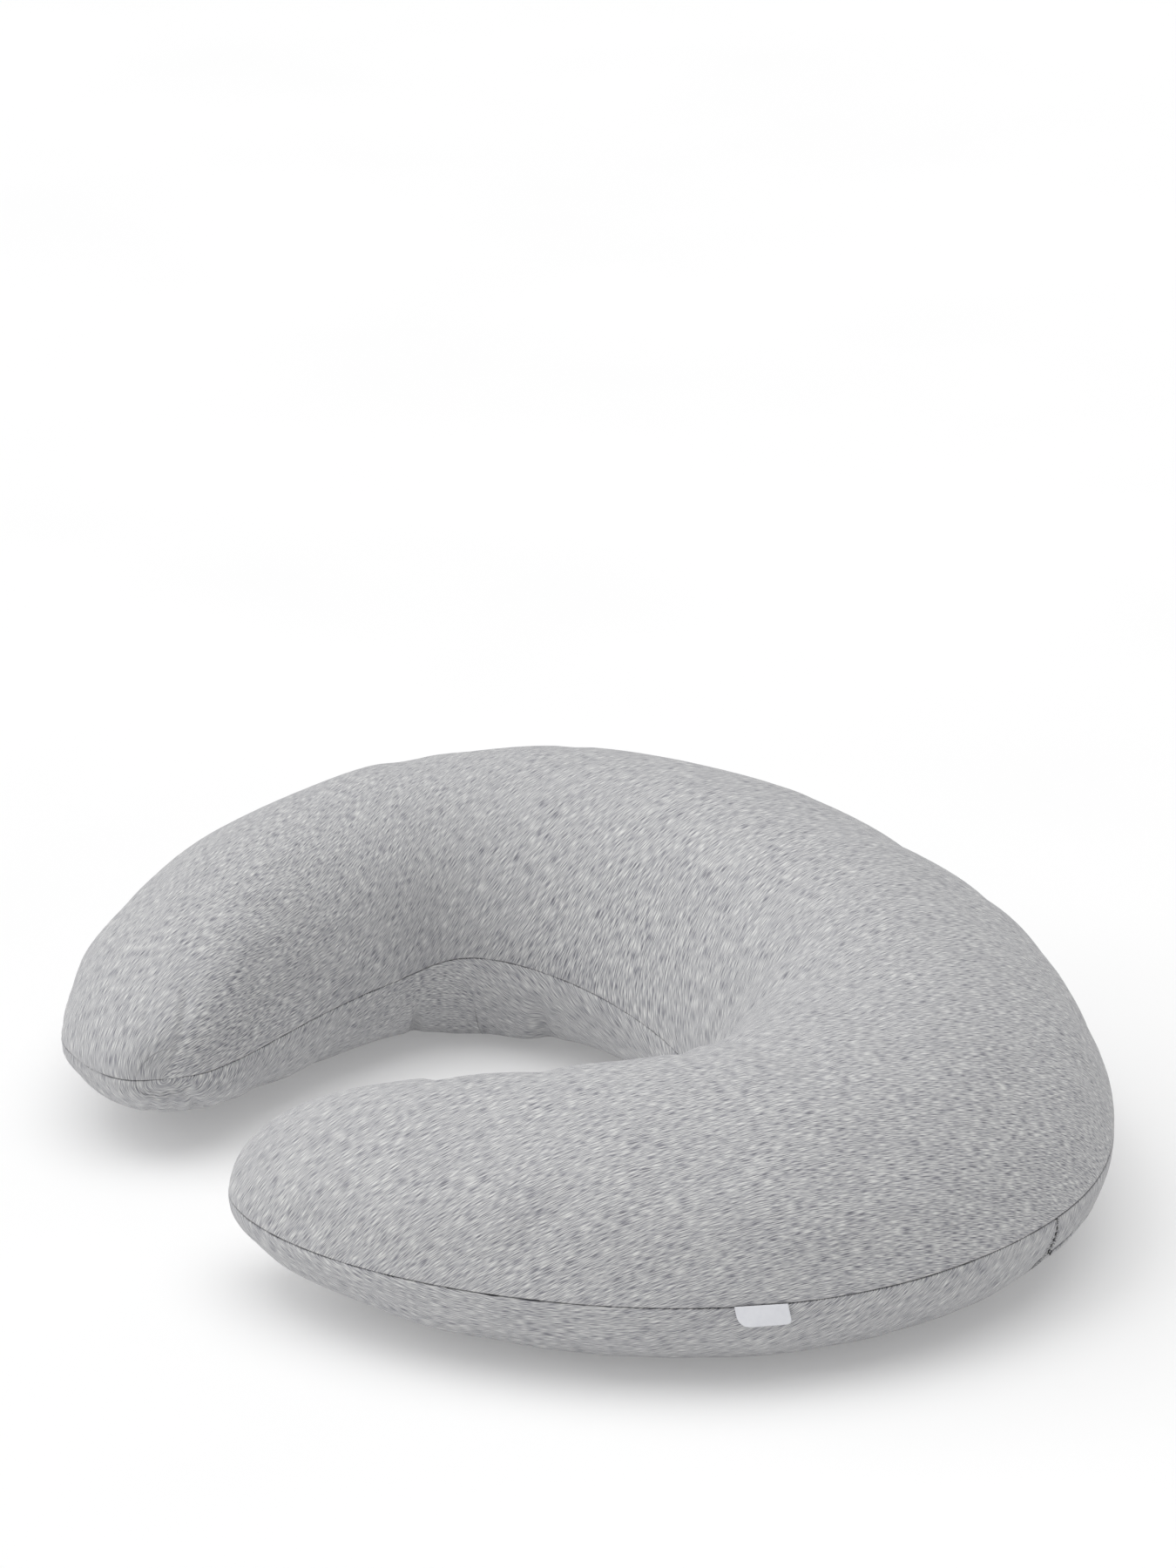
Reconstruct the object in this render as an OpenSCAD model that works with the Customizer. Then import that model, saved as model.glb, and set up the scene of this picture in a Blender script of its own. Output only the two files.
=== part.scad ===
// Nursing pillow: a stuffed C-shaped cushion inside a zipped jersey cover.
// Frame: +Z up, the mouth of the C toward -Y, the origin on the table under the middle of the
// footprint. A point of the pillow is found from a place t along the C (-1 and 1 are the arm
// tips, 0 the back) and an angle a round its section (0 at the outer seam, 180 at the inner).

/* [Outline seen from above] */
// Half of the width of the line that runs along the middle of the C
spine_width = 224; // [218:1:230]
// Distance of that line from its centre to the back
spine_depth = 179; // [175:1:183]
// How much the line is squared off toward the back
spine_square = 0.19; // [0.15:0.01:0.22]
// Angle turned by the line from the back to the end of each arm
arm_angle = 161; // [158:1:163]
// How far the sections swing toward the arm tips, in degrees
section_lean = 6.5; // [5:0.5:8]
// Place along the C where an arm begins to round off
tip_start = 0.475; // [0.46:0.005:0.5]

/* [Cross-section] */
// Half of the width of the section at the back
half_back = 104; // [100:1:108]
// Half of the width of the section at the sides
half_side = 93.5; // [91:0.5:96]
// Half of the width that the arms taper from
half_arm = 98.5; // [96:0.5:101]
// Height at the back
tall_back = 148; // [140:1:156]
// Height at the sides
tall_side = 134; // [128:1:140]
// Height that the arms taper from
tall_arm = 132; // [126:1:138]
// Height of the outer seam along the back
seam_back = 51.5; // [48:0.5:55]
// Height of the outer seam along the arms
seam_arm = 46.5; // [43:0.5:50]
// How much higher the inner seam lies
seam_rise = 5; // [3:0.5:7]
// How far the crown leans in toward the waist, as a share of the half width
crown_lean = 0.166; // [0.1:0.002:0.2]
// Extra depth of the belly that the table presses flat, as a share of its depth
press_flat = 0.09; // [0.05:0.01:0.14]

/* [Fabric] */
// Thickness of the cover's jersey
jersey = 1.2; // [1:0.1:1.4]
// Thickness of the inner cushion's woven casing
casing = 0.8; // [0.6:0.1:1]
// Seam allowance inside the cover
allowance = 8; // [6:0.5:9]
// Room between the cover and the inner cushion at the seam
room_side = 14; // [13:0.5:16]
// Room between the outside of the cover and the inner cushion above and below
room_flat = 3.2; // [3:0.1:3.6]
// Spacing of the stitches along a seam
stitch_pitch = 14; // [12:1:24]

/* [Zip] */
// Radius of the curve that the zip follows round the back
zip_r = 403; // [400:1:410]
// How far that curve stands out at the back, past the half width there
zip_out = 5; // [3:0.5:6]
// Angle from the back to each end of the rows of teeth
zip_angle = 33; // [30:0.5:33]
// Half of the gap between the cover's edges in front of the teeth
gap = 1; // [0.9:0.05:1.2]
// Angle round the section that the facing below the zip covers
facing_sweep = 19; // [17:0.5:21]
// Spacing of the teeth
tooth_pitch = 4; // [3.5:0.5:5]
// Width of each half of the zip's tape
tape_w = 10.1; // [8:0.1:10.5]
// Length of the slider
slider_l = 9; // [8:0.5:10]
// Length of the pull tab
pull_l = 22; // [18:1:26]

/* [Labels] */
// Width of the side label along the seam
label_w = 26; // [20:1:30]
// Length of the side label below the seam
label_h = 11.5; // [10:0.5:16]
// Radius of the side label's lower corners
label_r = 3.5; // [1.5:0.5:4]

/* [Hidden] */

// Colours
marl = [0.72, 0.72, 0.73];
white = [0.93, 0.93, 0.95];
zip_grey = [0.6, 0.61, 0.63];
metal = [0.7, 0.7, 0.72];

// Exponents of the section's curves: crown and belly, at the outer and the inner side
crown_out = 1.2;
crown_in = 1.08;
belly_out = 0.94;
belly_in = 0.67;
// Exponents by which the crown and the belly close in at the arm tips
crown_close = 0.86;
belly_close = 0.8;

// Places along the C: the zip's curve ends, the facing ends, the outline is free again
curve_end = 0.255;
facing_end = 0.364;
free_start = 0.43;
// Half of the step in the cover at the facing's ends
step_t = 0.001;
// Length along the C over which a slope is measured
slope_t = 0.01;
// Places along the C between which the outer seam drops to its height on the arms
drop_start = 0.32;
drop_end = 0.62;

// Half of the slit between two panels that are sewn together, and the turned-in lip
slit = 0.15;
lip = 0.3;
// Length along the C over which the gap in front of the zip narrows
gap_fade = 0.04;
// How strongly a section's points crowd toward the seams
crowding = 0.1;
// Lengths below these count as nothing: of a sine, and between two points
no_sine = 0.0001;
no_length = 0.001;

// Counts: stations along the middle of the C and along each tip, and points across a section
cover_n = 16;
inner_n = 10;
tip_n = 13;
ring_n = 14;
facing_n = 5;
tip_share = 0.5;

function mix(a, b, k) = a + (b - a) * k;
function ease(k) = let (c = min(max(k, 0), 1)) c * c * (3 - 2 * c);
// Even curve along the C that passes through a value at the back, at a side and at a tip
function along(back, side, arm, t) =
    let (b = (16 * (side - back) - (arm - back)) / 3)
    back + b * t * t + (arm - back - b) * pow(t, 4);

// Line along the middle of the C, and the level direction across it that points outward
function raw_spine(t) =
    let (p = arm_angle * t)
    [spine_width * sin(p) * (1 + spine_square * cos(p)), spine_depth * cos(p)];
function across(t) =
    let (p = arm_angle * t, a = p - section_lean * sin(2 * p))
    [sin(a), cos(a)];

// Length of the line for a unit of t near the tips
tip_pace = norm(raw_spine(1) - raw_spine(1 - slope_t)) / slope_t;

// Half widths toward the waist and away from it. The outer one follows the zip's curve first.
raw_zip_y = spine_depth + half_back + zip_out - zip_r;
function inner_half(t) = along(half_back, half_side, half_arm, t);
// How much further than the inner half width the zip's curve lies from the line
function extra(t) =
    let (s = raw_spine(t) - [0, raw_zip_y], b = s * across(t))
    sqrt(b * b - s * s + zip_r * zip_r) - b - inner_half(t);
extra_slope = (extra(curve_end) - extra(curve_end - slope_t)) / slope_t;
function outer_half(t) =
    let (past = abs(t) - curve_end)
    inner_half(t) + (past < 0 ? extra(t) : (extra(curve_end) + extra_slope * past)
    * (1 - ease(past / (free_start - curve_end))));

// Station q is t, except that the tips are spaced by the angle of their round end.
// A skin is [inset at the seam, inset above and below], and its tips are inset too.
function tip_turn(q) = 90 * max(0, (abs(q) - tip_share) / (1 - tip_share));
function place(q, skin) =
    abs(q) <= tip_share ? q * tip_start / tip_share
    : sign(q) * mix(tip_start, 1 - skin[0] / tip_pace, sin(tip_turn(q)));
function closing(q) = abs(q) >= 1 ? 0 : cos(tip_turn(q));
function station(t) = t * tip_share / tip_start;

// Outer and inner edge of the footprint: the outer one sets the origin
rim_n = 200;
function edge_line(inner) = [for (i = [-rim_n:rim_n])
    let (q = i / rim_n, t = place(q, [0, 0]))
    raw_spine(t) + across(t) * closing(q) * (inner ? -inner_half(t) : outer_half(t))];
rim = edge_line(false);
middle_y = (max([for (p = rim) p[1]]) + min([for (p = rim) p[1]])) / 2;
zip_y = raw_zip_y - middle_y;
function spine(t) = raw_spine(t) - [0, middle_y];

// Height of the seam, or of a level between the two seams, whose lines meet at the tips
function seam_height(t, u) =
    mix(seam_back, seam_arm, ease((abs(t) - drop_start) / (drop_end - drop_start)))
    + seam_rise * (1 - u) / 2;
function crown(z, t, c, skin, s, k) =
    z + (along(tall_back, tall_side, tall_arm, t) - skin[1] - z) * pow(c, crown_close)
    * pow(s, mix(crown_in, crown_out, k));
function belly(z, c, skin, s, k) =
    max(skin[1], z - (z * (1 + press_flat) - skin[1]) * pow(c, belly_close)
    * pow(s, mix(belly_in, belly_out, k)));

// Level distance from the spine, and height, of a point on a skin above or below the seam
function offset_at(q, a, up, skin) =
    let (t = place(q, skin), k = (1 + cos(a)) / 2, lean = up ? crown_lean * pow(sin(a), 2) : 0)
    (mix(inner_half(t), outer_half(t), k) - skin[0]) * closing(q) * (cos(a) - lean);
function height_at(q, a, up, skin) =
    let (t = place(q, skin), c = closing(q), s = abs(sin(a)), k = (1 + cos(a)) / 2)
    let (z = seam_height(t, c * cos(a)))
    s < no_sine || c == 0 ? z : up ? crown(z, t, c, skin, s, k) : belly(z, c, skin, s, k);
function lay(q, skin, d, z) =
    let (t = place(q, skin), p = spine(t) + across(t) * d)
    [p[0], p[1], z];
function on_skin(q, a, up, skin) =
    lay(q, skin, offset_at(q, a, up, skin), height_at(q, a, up, skin));

// Angles of a section's points, closer together near the seams
function spread(x, a0, a1) = mix(a0, a1, x - crowding * sin(360 * x));

// One edge of a panel, from the outside in: [slit, allowance, side of the joint it lies on]
function edge(q, a, up, skins, thick, e) =
    let (z = height_at(q, a, up, skins[0]) + e[2] * e[0])
    let (d0 = offset_at(q, a, up, skins[0]), d1 = offset_at(q, a, up, skins[1]))
    let (d2 = sign(d1) * max(abs(d1) - e[1], abs(d1) / 2), zt = z + e[2] * thick)
    [lay(q, skins[0], d0, z), lay(q, skins[1], d2, z), lay(q, skins[1], d2, zt),
        lay(q, skins[1], d1, zt)];

// Closed ring of a panel's section, between angle a0 and a1
function panel_ring(q, up, skins, thick, a0, a1, n, e0, e1) =
    let (f = edge(q, a0, up, skins, thick, e0), g = edge(q, a1, up, skins, thick, e1))
    concat([f[0]],
        [for (j = [1:n - 1]) on_skin(q, spread(j / n, a0, a1), up, skins[0])],
        [g[0], g[1], g[2], g[3]],
        [for (j = [n - 1:-1:1]) on_skin(q, spread(j / n, a0, a1), up, skins[1])],
        [f[3], f[2], f[1]]);

// Places of the stations from the back to one tip, then over the whole C
function half_line(n) = concat([for (i = [1:n]) tip_share * i / n],
    [for (i = [1:tip_n]) mix(tip_share, 1, i / tip_n)]);
function reversed(list) = [for (i = [len(list) - 1:-1:0]) list[i]];
function both_ways(list) = concat(-reversed(list), [0], list);
inner_line = both_ways(half_line(inner_n));
// The same with a step at the facing's ends
facing_q = station(facing_end);
step_q = station(step_t);
cover_line = both_ways(concat([for (q = half_line(cover_n)) if (q < facing_q - step_q) q],
    [facing_q - step_q, facing_q + step_q],
    [for (q = half_line(cover_n)) if (q > facing_q + step_q) q]));
facing_line = both_ways(concat([for (q = half_line(cover_n)) if (q < facing_q - 2 * step_q) q],
    [facing_q - 2 * step_q]));

// Joins rings into one solid. The points of a pole, where a ring has shrunk to a few places,
// share their vertices; flat ends are closed by their own outline.
function shared(ring, i) = [for (j = [0:i]) if (norm(ring[j] - ring[i]) < no_length) j][0];
module solid(rings, flat_ends = false) {
    m = len(rings);
    n = len(rings[0]);
    index = [for (k = [0:m - 1]) [for (i = [0:n - 1])
        k * n + (!flat_ends && (k == 0 || k == m - 1) ? shared(rings[k], i) : i)]];
    halves = [for (k = [0:m - 2], i = [0:n - 1])
        let (j = (i + 1) % n, a = index[k][i], b = index[k][j])
        let (c = index[k + 1][j], d = index[k + 1][i])
        each [[a, b, c], [a, c, d]]];
    sides = [for (f = halves) if (f[0] != f[1] && f[1] != f[2] && f[0] != f[2]) f];
    first = [for (i = [n - 1:-1:0]) i];
    last = [for (i = [0:n - 1]) (m - 1) * n + i];
    polyhedron([for (r = rings) each r], flat_ends ? concat(sides, [first, last]) : sides);
}

// Skins, from the outside in
cover_skins = [[0, 0], [jersey, jersey]];
casing_skins = [[room_side, room_flat], [room_side + casing, room_flat + casing]];
filling_gap = 1;
filling_skin = [room_side + casing + filling_gap, room_flat + casing + filling_gap];

// Edges of the cover's panels: the gap in front of the zip narrows toward the facing's ends
function gap_at(q) = mix(gap, 2 * slit, ease((abs(q) - station(curve_end)) / station(gap_fade)));
function in_facing(q) = abs(q) < facing_q;
function sewn(up) = [slit, allowance, up];

module cover_top_panel() {
    color(marl)
        solid([for (q = reversed(cover_line))
            panel_ring(q, true, cover_skins, jersey, 0, 180, ring_n,
                in_facing(q) ? [gap_at(q), lip, 1] : sewn(1), sewn(1))]);
}

module cover_bottom_panel() {
    color(marl)
        solid([for (q = cover_line)
            panel_ring(q, false, cover_skins, jersey, in_facing(q) ? facing_sweep : 0, 180,
                ring_n, sewn(-1), sewn(-1))]);
}

module zip_facing() {
    color(marl)
        solid([for (q = facing_line)
            panel_ring(q, false, cover_skins, jersey, 0, facing_sweep, facing_n,
                [gap_at(q), lip, -1], sewn(1))], flat_ends = true);
}

// Directions are measured between stations that lie this far to each side
side_step = 0.004;
function heading(q, skin) =
    let (r = lay(q + side_step, skin, 0, 0) - lay(q - side_step, skin, 0, 0))
    atan2(r[1], r[0]);

// Puts children on the seam at station q: X along it, Y level and outward, Z up
module on_seam(q, outer, inset) {
    a = outer ? 0 : 180;
    skin = [inset, 0];
    r = on_skin(q + side_step, a, true, skin) - on_skin(q - side_step, a, true, skin);
    translate(on_skin(q, a, true, skin))
        rotate([0, 0, atan2(r[1], r[0]) + (outer ? 0 : 180)])
        children();
}

// How far along the C the two seams are stitched, and the stitches on each half of them
seam_reach = 0.94;
function path_length(line, i = 1) =
    i == len(line) ? 0 : norm(line[i] - line[i - 1]) + path_length(line, i + 1);
outer_count = round(seam_reach * path_length(rim) / stitch_pitch / 2);
inner_count = round(seam_reach * path_length(edge_line(true)) / stitch_pitch / 2);
function stitch_line(count) = [for (i = [-count:count]) seam_reach * i / count];

// Stitches: [along the seam, across the thread, up and down]
cover_stitch = [5, 0.7, 2 * (slit + jersey) + 0.8];
tack_stitch = [6, 0.6, 0.8];
tape_stitch = [4, 2.4, 0.6];
casing_stitch = [4, 0.5, 2.4];
hand_stitch = [5, 0.5, 0.7];
// Depth of the cover's stitches, and their distance from the facing's ends along the C
cover_stitch_inset = jersey + 1.4;
past_facing = 0.012;
before_facing = 0.02;
// Bar tacks at each end of the facing
tacks = 5;

module stitch(size) {
    cube(size, center = true);
}

// Lock stitches through both seam allowances
module cover_seam_thread() {
    color(white) {
        for (q = stitch_line(outer_count))
            if (!in_facing(abs(q) - past_facing))
                on_seam(q, true, cover_stitch_inset)
                stitch(cover_stitch);
        for (q = stitch_line(inner_count))
            on_seam(q, false, cover_stitch_inset)
            stitch(cover_stitch);
    }
}

// Stitches along the facing's lower edge, and bar tacks that close each end of it
module facing_seam_thread() {
    skin = [cover_stitch_inset, 0];
    color(white) {
        for (q = stitch_line(outer_count))
            if (abs(q) < facing_q - before_facing) {
                d = offset_at(q, facing_sweep, false, [0, 0]) - cover_stitch_inset;
                translate(lay(q, skin, d, height_at(q, facing_sweep, false, [0, 0])))
                    rotate([0, 0, heading(q, skin)])
                    stitch(cover_stitch);
            }
        for (end = [-1, 1], i = [1:tacks]) {
            q = end * (facing_q - step_q);
            b = facing_sweep * i / (tacks + 1);
            translate(on_skin(q, b, false, [jersey / 2, jersey / 2]))
                rotate([0, 0, heading(q, skin)])
                stitch(tack_stitch);
        }
    }
}

// Flat label that hangs down from the XZ plane's origin, rounded at its lower corners
module hanging_label(size) {
    w = size[0];
    h = size[1];
    r = size[2];
    rotate([90, 0, 0])
        linear_extrude(size[3], center = true) {
            translate([-w / 2, r - h])
                square([w, h - r]);
            translate([r - w / 2, -h])
                square([w - 2 * r, h]);
            for (x = [-1, 1])
                translate([x * (w / 2 - r), r - h])
                circle(r, $fn = 48);
        }
}

// Place of the side label's middle along the C, its distance from the cover, the height of its
// top above the seam, and its thickness
label_t = 0.5805;
label_proud = 0.8;
label_root = 0.8;
label_thick = 0.7;
// Care labels, one in the cover and one on the inner cushion: width, length, corners, thickness
care_size = [30, 17, 1, 0.3];
inner_care_size = [28, 17, 1, 0.3];
care_gap = 0.4;
inner_care_gap = 0.5;
cover_care_t = 0.6;
inner_care_t = 0.5;
function station_of(t) =
    t <= tip_start ? station(t)
    : mix(tip_share, 1, asin((t - tip_start) / (1 - tip_start)) / 90);

module side_label() {
    color(white)
        on_seam(station_of(label_t), true, 0)
        translate([0, label_proud, label_root])
        hanging_label([label_w, label_h, label_r, label_thick]);
}

// Sewn to the edge of the seam allowance, inside the cover
module cover_care_label() {
    color(white)
        on_seam(-station_of(cover_care_t), true, jersey + allowance + care_gap)
        translate([0, 0, -slit - jersey - care_gap / 2])
        hanging_label(care_size);
}

// Puts children at an angle on the zip's curve: X along it, Y outward from its centre
module on_track(angle) {
    translate([0, zip_y, seam_back])
        rotate([0, 0, -angle])
        children();
}

// Band round the zip's centre: depths from the cover's surface, heights, and angles
module band(depth, low, high, from, to) {
    on_track(to)
        rotate([0, 0, 90])
        rotate_extrude(angle = to - from, $fn = 360)
        translate([zip_r - depth[1], low])
        square([depth[1] - depth[0], high - low]);
}

// Depths below the cover's surface
plate_front = [2.3, 3.3];
tooth_depth = [3.6, 5.4];
tape_depth = [4.2, 4.8];
plate_back = [5.7, 6.7];
// Heights from the zip's middle
tooth_tip = 0.7;
tooth_root = 3;
tape_edge = 1.9;
// The tapes run past the teeth by this angle
tape_past = 1.3;
tape_end = zip_angle + tape_past;
// Where the stitches that hold the tapes lie: depth, and height from the zip's middle
tape_stitch_at = [3.8, 10.5];
// Share of the pitch that a tooth fills, and how far the rows are shifted against each other
tooth_share = 0.55;
row_shift = 0.25;

module zip_tape_upper() {
    color(zip_grey)
        band(tape_depth, tape_edge, tape_edge + tape_w, -tape_end, tape_end);
}

module zip_tape_lower() {
    color(zip_grey)
        band(tape_depth, -tape_edge - tape_w, -tape_edge, -tape_end, tape_end);
}

// Stitches that hold the tapes to the top panel and to the facing
module zip_tape_stitching() {
    pitch_angle = stitch_pitch / zip_r * 180 / PI;
    count = floor(zip_angle / pitch_angle);
    color(white)
        for (side = [-1, 1], i = [-count:count])
            on_track(i * pitch_angle)
            translate([0, zip_r - tape_stitch_at[0], side * tape_stitch_at[1]])
            stitch(tape_stitch);
}

// Row of teeth moulded on the edge of a tape
module teeth(side) {
    pitch_angle = tooth_pitch / zip_r * 180 / PI;
    count = floor(zip_angle / pitch_angle);
    tall = tooth_root - tooth_tip;
    deep = tooth_depth[1] - tooth_depth[0];
    for (i = [-count:count])
        on_track((i + side * row_shift) * pitch_angle)
        translate([0, zip_r - tooth_depth[0] - deep / 2, side * (tooth_tip + tall / 2)])
        cube([tooth_pitch * tooth_share, deep, tall], center = true);
}

module zip_teeth_upper() {
    color(zip_grey)
        teeth(1);
}

module zip_teeth_lower() {
    color(zip_grey)
        teeth(-1);
}

// Stops: one on each tape at the closed end, and one across both tapes at the open end
stop_angle = 0.3;
module zip_top_stops() {
    color(metal)
        for (side = [-1, 1])
            band(tooth_depth, side > 0 ? tooth_tip : -tooth_root, side > 0 ? tooth_root : -tooth_tip,
                -zip_angle - 2 * stop_angle, -zip_angle - stop_angle);
}

module zip_bottom_stop() {
    color(metal)
        band(tooth_depth, -tooth_root, tooth_root, zip_angle + stop_angle, zip_angle + 3 * stop_angle);
}

// Slider: its angle when the zip is closed, half of its angle, and its parts. Parts that are one
// piece overlap by the weld. The neck and the bridge's posts are given by angles.
slider_start = 0.6;
slider_rest = slider_start - zip_angle;
weld = 0.01;
neck_reach = 0.2;
slider_half = slider_l / 2 / zip_r * 180 / PI;
slider_tall = 4.2;
lip_w = 0.8;
lip_deep = 0.5;
neck_half = 0.4;
bridge_half = 0.6;
bridge_out = [-2.8, -2];
bridge_post = [0.35, 0.55];

module zip_slider() {
    r = slider_rest;
    color(metal)
        union() {
            band(plate_front, -slider_tall, slider_tall, r - slider_half, r + slider_half);
            band(plate_back, -slider_tall, slider_tall, r - slider_half, r + slider_half);
            for (low = [-slider_tall, slider_tall - lip_w]) {
                band([plate_front[1] - weld, plate_front[1] + lip_deep], low, low + lip_w,
                    r - slider_half, r + slider_half);
                band([plate_back[0] - lip_deep, plate_back[0] + weld], low, low + lip_w,
                    r - slider_half, r + slider_half);
            }
            band([plate_front[1] - weld, plate_back[0] + weld], -neck_half, neck_half,
                r - neck_reach, r + neck_reach);
            for (end = [-1, 1])
                band([bridge_out[0], plate_front[0] + weld], -bridge_half, bridge_half,
                    r + min(end * bridge_post[0], end * bridge_post[1]),
                    r + max(end * bridge_post[0], end * bridge_post[1]));
            band(bridge_out, -bridge_half, bridge_half, r - bridge_post[1], r + bridge_post[1]);
        }
}

// Pull tab: a crossbar held under the slider's bridge, two arms round the bridge, and a tab
bar_out = 1;
bar_r = 0.6;
fork_in = 1.2;
fork_out = 2.6;
fork_l = 5;
fork_weld = 0.1;
pull_half = 3.5;
pull_thick = 1.2;

module zip_pull_tab() {
    color(metal)
        on_track(slider_rest)
        translate([0, zip_r + bar_out, 0])
        union() {
            cylinder(h = 2 * fork_out, r = bar_r, center = true, $fn = 32);
            for (side = [-1, 1])
                translate([fork_l / 2, 0, side * (fork_in + fork_out) / 2])
                cube([fork_l + 2 * fork_weld, pull_thick, fork_out - fork_in], center = true);
            rotate([90, 0, 0])
                linear_extrude(pull_thick, center = true) {
                    translate([fork_l, -pull_half])
                        square([pull_l - fork_l - pull_half, 2 * pull_half]);
                    translate([pull_l - pull_half, 0])
                        circle(pull_half, $fn = 48);
                }
        }
}

module inner_casing_top() {
    color(white)
        solid([for (q = reversed(inner_line))
            panel_ring(q, true, casing_skins, casing, 0, 180, ring_n, [slit, lip, 1], [slit, lip, 1])]);
}

module inner_casing_bottom() {
    color(white)
        solid([for (q = inner_line)
            panel_ring(q, false, casing_skins, casing, 0, 180, ring_n,
                [slit, lip, -1], [slit, lip, -1])]);
}

// The last stretch of the casing's outer seam, at the back, is closed by hand after filling:
// how far it reaches to each side, its stitches on each side and their slant
closing_reach = 0.12;
closing_count = 12;
closing_slant = 35;
casing_seam_inset = room_side + casing / 2;

module inner_seam_thread() {
    color(white) {
        for (q = stitch_line(outer_count))
            if (abs(q) > closing_reach)
                on_seam(q, true, casing_seam_inset)
                stitch(casing_stitch);
        for (q = stitch_line(inner_count))
            on_seam(q, false, casing_seam_inset)
            stitch(casing_stitch);
    }
}

module inner_closing_stitch() {
    color(white)
        for (i = [-closing_count:closing_count])
            on_seam(closing_reach * i / (closing_count + 1), true, casing_seam_inset)
            rotate([0, closing_slant, 0])
            stitch(hand_stitch);
}

// Sewn to the inner cushion's seam
module inner_care_label() {
    color(white)
        on_seam(-station_of(inner_care_t), true, room_side - inner_care_gap)
        translate([0, 0, -inner_care_gap])
        hanging_label(inner_care_size);
}

module fibre_filling() {
    n = ring_n;
    color(white)
        solid([for (q = reversed(inner_line))
            concat([for (j = [0:n]) on_skin(q, spread(j / n, 0, 180), true, filling_skin)],
                [for (j = [n - 1:-1:1]) on_skin(q, spread(j / n, 0, 180), false, filling_skin)])]);
}

cover_top_panel();
cover_bottom_panel();
zip_facing();
cover_seam_thread();
facing_seam_thread();
side_label();
cover_care_label();
zip_tape_upper();
zip_tape_lower();
zip_tape_stitching();
zip_teeth_upper();
zip_teeth_lower();
zip_top_stops();
zip_bottom_stop();
zip_slider();
zip_pull_tab();
inner_casing_top();
inner_casing_bottom();
inner_seam_thread();
inner_closing_stitch();
inner_care_label();
fibre_filling();
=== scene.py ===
"""Nursing pillow: a stuffed C-shaped cushion in a zipped marl jersey cover.

A point of the pillow is found from a station q along the C (-1 and 1 are the arm tips, 0 the back) and a
distance round its section, from the outer seam to the inner one, over the top or under the bottom.
Everything is in metres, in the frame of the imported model.
"""
import math

import bmesh
import bpy
import numpy as np
from mathutils import Matrix, Vector


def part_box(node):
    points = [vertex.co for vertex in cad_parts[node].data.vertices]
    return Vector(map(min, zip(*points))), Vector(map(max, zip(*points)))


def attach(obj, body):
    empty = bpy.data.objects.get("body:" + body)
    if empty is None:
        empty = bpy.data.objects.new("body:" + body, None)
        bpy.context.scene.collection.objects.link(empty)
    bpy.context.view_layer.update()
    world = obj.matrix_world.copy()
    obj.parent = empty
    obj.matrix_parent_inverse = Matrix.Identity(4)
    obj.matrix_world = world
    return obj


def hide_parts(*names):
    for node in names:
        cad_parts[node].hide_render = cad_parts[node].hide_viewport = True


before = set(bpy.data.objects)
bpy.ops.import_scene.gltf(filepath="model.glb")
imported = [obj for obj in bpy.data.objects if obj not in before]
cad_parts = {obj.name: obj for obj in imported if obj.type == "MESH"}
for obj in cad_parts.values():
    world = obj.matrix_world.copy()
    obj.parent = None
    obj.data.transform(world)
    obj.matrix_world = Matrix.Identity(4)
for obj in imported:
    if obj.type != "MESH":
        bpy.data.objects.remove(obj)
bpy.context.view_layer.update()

# ---------------------------------------------------------------- the pillow's driving sizes
SPINE_WIDTH, SPINE_DEPTH, SPINE_SQUARE = 0.224, 0.179, 0.19
ARM_ANGLE, SECTION_LEAN = math.radians(161), math.radians(6.5)
TIP_START, TIP_SHARE = 0.475, 0.5
HALF_BACK, HALF_SIDE, HALF_ARM = 0.104, 0.0935, 0.0985
TALL_BACK, TALL_SIDE, TALL_ARM = 0.148, 0.134, 0.132
SEAM_BACK, SEAM_ARM, SEAM_RISE = 0.0515, 0.0465, 0.005
DROP_START, DROP_END = 0.32, 0.62
CROWN_LEAN, PRESS_FLAT = 0.166, 0.09
CROWN_OUT, CROWN_IN, BELLY_OUT, BELLY_IN = 1.2, 1.08, 0.94, 0.67
CROWN_CLOSE, BELLY_CLOSE = 0.86, 0.8
ZIP_R, ZIP_OUT, CURVE_END, FACING_END, FREE_START = 0.403, 0.005, 0.255, 0.364, 0.43
FACING_SWEEP = math.radians(19)
JERSEY, CASING = 0.0012, 0.0008
ALLOWANCE, SLIT, ZIP_GAP = 0.008, 0.00015, 0.001
ROOM_SIDE, ROOM_FLAT, FILLING_GAP = 0.014, 0.0032, 0.001
# Step in t over which a slope is taken
SLOPE_STEP = 0.01


# ---------------------------------------------------------------- the shape
def mix(a, b, k):
    return a + (b - a) * k


def ease(k):
    c = np.clip(k, 0, 1)
    return c * c * (3 - 2 * c)


def along(back, side, arm, t):
    """Even curve along the C, through a value at the back, at a side and at a tip."""
    b = (16 * (side - back) - (arm - back)) / 3
    return back + b * t ** 2 + (arm - back - b) * t ** 4


def raw_spine(t):
    p = ARM_ANGLE * t
    wide = SPINE_WIDTH * np.sin(p) * (1 + SPINE_SQUARE * np.cos(p))
    return np.stack([wide, SPINE_DEPTH * np.cos(p)], -1)


def across(t):
    p = ARM_ANGLE * t
    a = p - SECTION_LEAN * np.sin(2 * p)
    return np.stack([np.sin(a), np.cos(a)], -1)


def inner_half(t):
    return along(HALF_BACK, HALF_SIDE, HALF_ARM, t)


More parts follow.
